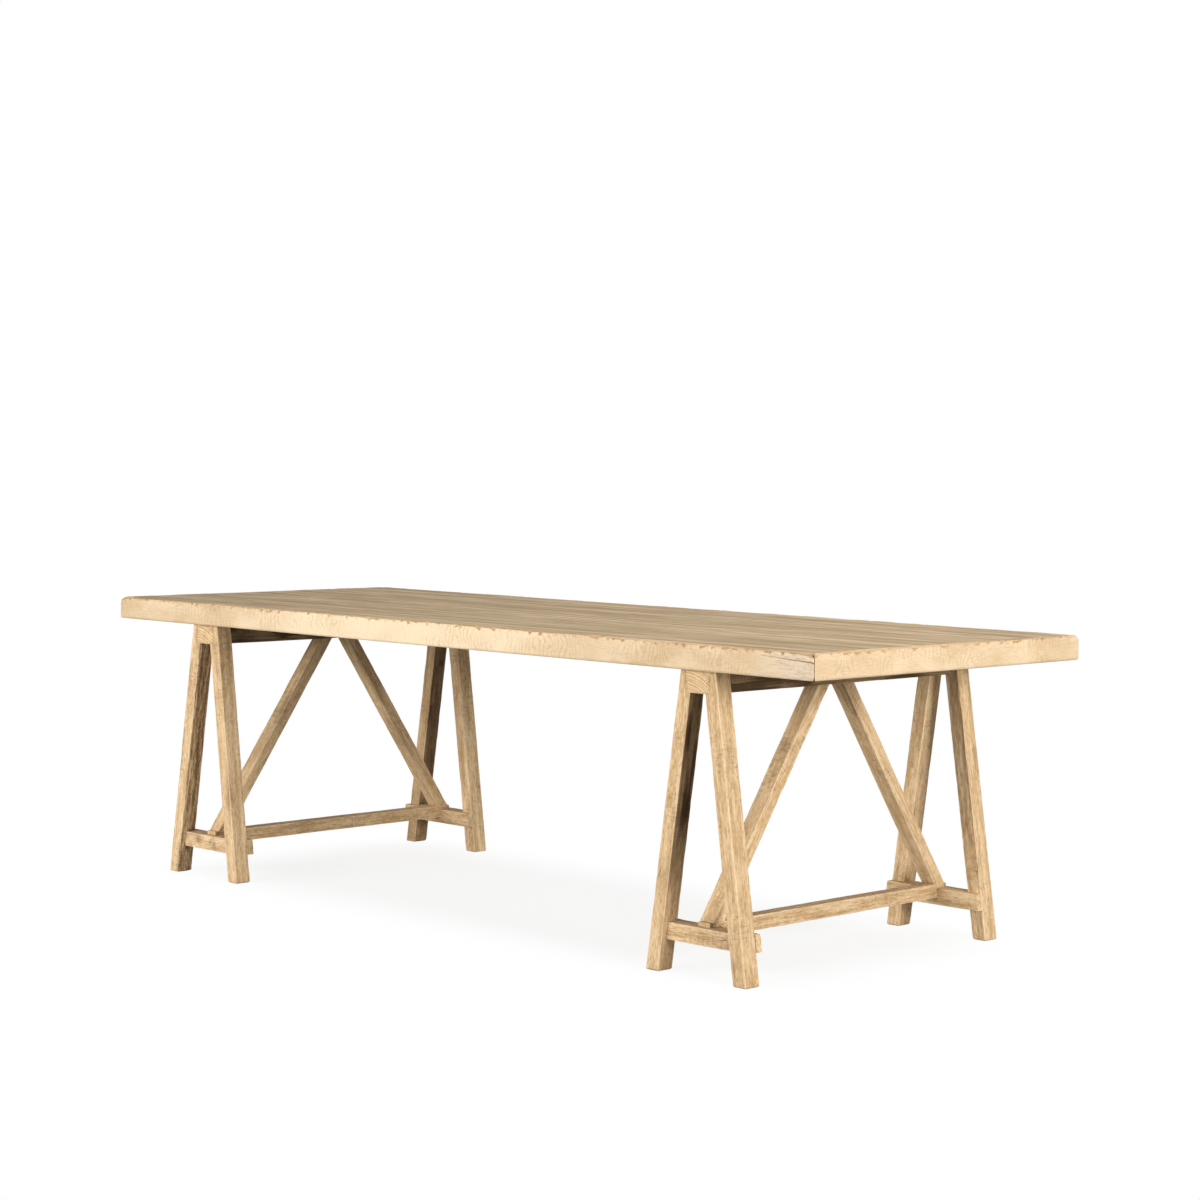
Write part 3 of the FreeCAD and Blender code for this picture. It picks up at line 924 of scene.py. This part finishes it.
def edge_finish():
    """Pale planed oak with a painted pool of light mid-way along, ochre and chipped at the rim, bleached and
    cracked in one patch, worn on top, with painted shade in deep chips and the shake.
    """
    material, shader, start = wood_shader("pale_edge_oak")
    grain = start.attribute("grain")
    upward, bleached, lost = start.attribute("state").parts()
    x, y, height = start.spot().parts()
    blotches = grain.cloud(14, 7)
    fibres = grain.cloud(420, 40, 3)
    waves = grain.node("ShaderNodeTexWave", {"bands_direction": "Z"},
                       {"Vector": grain, "Scale": 22, "Distortion": 18,
                        "Detail": 3, "Detail Scale": 0.8}, "Fac")
    ripple = waves.between(0.55, 1) * grain.cloud(15, 5).between(0.45, 0.62)
    flecks = grain.cloud(500, 160, 1).between(0.6, 0.76)
    cracks = 1 - abs(grain.cloud(170, 12, 3) - 0.5).between(0.004, 0.026)
    colour = (blotches * 0.6 + fibres * 0.4).between(0.36, 0.64).mixed(EDGE_OAK, EDGE_OAK_DEEP)
    # A painted pool of light, paler near the middle of the table's length.
    pale = 1 - abs(x - LIGHT_POOL_CENTRE).between(*LIGHT_POOL_REACH)
    colour = (pale * 0.6).mixed(colour, EDGE_LIGHT_POOL)
    colour = (ripple * 0.3 + flecks * 0.45).mixed(colour, EDGE_FLECK)
    colour = (bleached * 0.65).mixed(colour, EDGE_BLEACHED)
    cracked = bleached * 0.45 + blotches.between(0.6, 0.7) * 0.25
    colour = (cracks * cracked).mixed(colour, EDGE_CRACK)
    colour = upward.between(0.55, 0.9).mixed(colour, worn_top_colour(grain))
    rim = upward.between(0.3, 0.5) * (1 - upward.between(0.75, 0.92))
    off_corner = (cad_high.x + cad_high.y - abs(x) - abs(y)).between(*CORNER_REACH)
    at_rim = 1 - (cad_high.z - height).between(*RIM_REACH)
    chipped = lost.between(*CHIP_DEPTHS) * at_rim * off_corner * (1 - upward.between(0.97, 0.995))
    colour = (rim * 0.75 + chipped * 0.25).between(0, 1).mixed(colour, RIM_OCHRE)
    # Painted shade inside deep chips and the shake, strongest in the bleached patch.
    deep = lost.between(*RECESS_SHADE_DEPTHS) * (1 - upward.between(0.85, 0.95))
    colour = (deep * (0.3 + bleached * 0.5)).mixed(colour, RECESS_SHADE_BROWN)
    colour.drive(shader, "Base Color")
    (0.7 + fibres * 0.2).drive(shader, "Roughness")
    bumped(fibres * 0.4 + ripple * 0.5 - cracks * bleached * 0.5, EDGE_RELIEF).drive(shader, "Normal")
    return material


edge_oak = edge_finish()
for node, outward, slices in LIPPINGS:
    low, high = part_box(node)
    size = high - low
    along = outward.cross(Z)
    length = abs(size.dot(along))
    thickness = abs(size.dot(outward))
    upper = [(thickness / 2, size.z / 2)]
    lower = [(thickness / 2, -size.z / 2)]
    lipping = sawn_bar("worn_" + node, thickness, size.z, length, LIP_COLUMNS, LIP_ROWS, slices)
    ease(lipping, upper, LIP_UPPER_EASE, LIP_EASE_SEGMENTS)
    ease(lipping, lower, LIP_LOWER_EASE, LIP_EASE_SEGMENTS)
    for axis in (0, 1):
        divide(lipping, axis, 1)
    worn_length, worn_depth = WORN_TIPS[node]
    grade(lipping, "upper", near(upper, LIP_WORN_REACH))
    grade(lipping, "face", lambda spot, normal: normal.x)
    grade(lipping, "tip", tip_wear(length, size.z, worn_length))
    settle(lipping, worn_depth, "tip")
    wear(lipping, FACE_DIP, FACE_DIP_SIZE, LIP_DIP_STRETCH, ALL_OVER, "face")
    wear(lipping, RIM_DIP, RIM_DIP_SIZE, LIP_DIP_STRETCH, RIM_DIP_LEVELS, "upper")
    wear(lipping, CHIP, CHIP_SIZE, CHIP_STRETCH, CHIP_LEVELS, "upper")
    middle = (low + high) / 2
    place = laid(middle - along * length / 2, middle + along * length / 2, outward)
    put(lipping, place)
    for toward in (along, -along):
        corner = middle + toward * (length / 2 + CORNER_LOSS) + outward * thickness / 2
        mitre_end(lipping, corner, toward, outward, size.z)
    bleached = nowhere
    if node == "front_lipping":
        split(lipping, Vector((high.x, low.y, high.z)))
        bleached = bleached_end
    lay_grain(lipping, place, thickness, size.z, LIP_PITH, facing(Z), bleached)
    finish_piece(lipping, edge_oak, "tabletop", "pale_edge_oak", node)

# Studio: a floor that takes the table's shadow in a soft-edged patch, and is plain white beyond it.
# Soft boxes stand far off to the front left and to the right, and one hangs over the right end.
FLOOR_SIZE = 40
SHADOW_HALF_LENGTH = 0.95
SHADOW_HALF_WIDTH = 0.25
SHADOW_FADE = 0.36
WHITE = (1, 1, 1, 1)
FLOOR_GLOW = 0.83
FLOOR_GREY = (0.18, 0.18, 0.18, 1)
BOUNCE_GREY = (0.55, 0.55, 0.55, 1)
TABLE_MIDDLE = Vector((0, 0, 0.5))
RIGHT_END = Vector((1.7, 0.31, 0))
SOFT_BOXES = (("front_soft_box", Vector((-1.8, -8, 2.1)), TABLE_MIDDLE, 9, 3, 720),
              ("right_soft_box", Vector((8, -0.9, 1.95)), TABLE_MIDDLE, 2.6, 2, 500),
              ("overhead_soft_box", Vector((1.7, 0.3, 4)), RIGHT_END, 3.5, 3, 62))
WORLD_LIGHT = 0.24

bpy.ops.object.select_all(action="DESELECT")
bpy.ops.mesh.primitive_plane_add(size=FLOOR_SIZE)
floor = bpy.context.object
floor.name = "studio_floor"
floor_white = bpy.data.materials.new("studio_floor")
floor_white.use_nodes = True
tree = floor_white.node_tree
tree.nodes.remove(tree.nodes["Principled BSDF"])
start = Field(tree)
x, y = start.spot().parts()[:2]
outside = start.node("ShaderNodeCombineXYZ", {}, {"X": (abs(x) - SHADOW_HALF_LENGTH).at_least(0),
                                                  "Y": (abs(y) - SHADOW_HALF_WIDTH).at_least(0)})
white = start.node("ShaderNodeEmission", {}, {"Color": WHITE, "Strength": 1})
glow = start.node("ShaderNodeEmission", {}, {"Color": WHITE, "Strength": FLOOR_GLOW})
lit = start.node("ShaderNodeBsdfDiffuse", {}, {"Color": FLOOR_GREY})
dim = start.node("ShaderNodeBsdfDiffuse", {}, {"Color": BOUNCE_GREY})
near_floor = start.node("ShaderNodeAddShader", {}, {0: glow, 1: lit})
away = outside.size().between(0, SHADOW_FADE)
shown = start.node("ShaderNodeMixShader", {}, {0: away, 1: near_floor, 2: white})
seen = start.node("ShaderNodeLightPath", {}, {}, "Is Camera Ray")
surface = start.node("ShaderNodeMixShader", {}, {0: seen, 1: dim, 2: shown})
surface.drive(tree.nodes["Material Output"], "Surface")
floor.data.materials.append(floor_white)

for name, stand, aim, width, height, power in SOFT_BOXES:
    lamp = bpy.data.lights.new(name, "AREA")
    lamp.shape = "RECTANGLE"
    lamp.size = width
    lamp.size_y = height
    lamp.energy = power
    box = bpy.data.objects.new(name, lamp)
    bpy.context.scene.collection.objects.link(box)
    box.location = stand
    box.rotation_euler = (stand - aim).to_track_quat("Z", "Y").to_euler()

world = bpy.data.worlds.new("studio")
bpy.context.scene.world = world
world.use_nodes = True
start = Field(world.node_tree)
seen = start.node("ShaderNodeLightPath", {}, {}, "Is Camera Ray")
for ray in ("Is Glossy Ray", "Is Transmission Ray"):
    seen = seen.at_least(start.node("ShaderNodeLightPath", {}, {}, ray))
background = world.node_tree.nodes["Background"]
background.inputs["Color"].default_value = WHITE
(WORLD_LIGHT + seen * (1 - WORLD_LIGHT)).drive(background, "Strength")

# Camera: a long lens at chest height, off the table's near right corner.
# It looks level, and its picture is shifted down onto the table and turned by a hair.
CAMERA_PLACE = Vector((5.1663, -4.9189, 1.2264))
CAMERA_YAW = math.radians(45.55)
CAMERA_ROLL = math.radians(0.592)
FOCAL_SHARE = 2.1975
HORIZON_SHARE = 0.3746
SENSOR = 36

lens = bpy.data.cameras.new("camera")
camera = bpy.data.objects.new("camera", lens)
bpy.context.scene.collection.objects.link(camera)
bpy.context.scene.camera = camera
forward = Vector((-math.sin(CAMERA_YAW), math.cos(CAMERA_YAW), 0))
right = forward.cross(Z) * math.cos(CAMERA_ROLL) + Z * math.sin(CAMERA_ROLL)
camera.matrix_world = laid(CAMERA_PLACE + forward, CAMERA_PLACE - forward, right)
lens.sensor_width = SENSOR
lens.lens = FOCAL_SHARE * SENSOR
lens.shift_y = HORIZON_SHARE - 0.5
bpy.context.scene.view_settings.view_transform = "Standard"
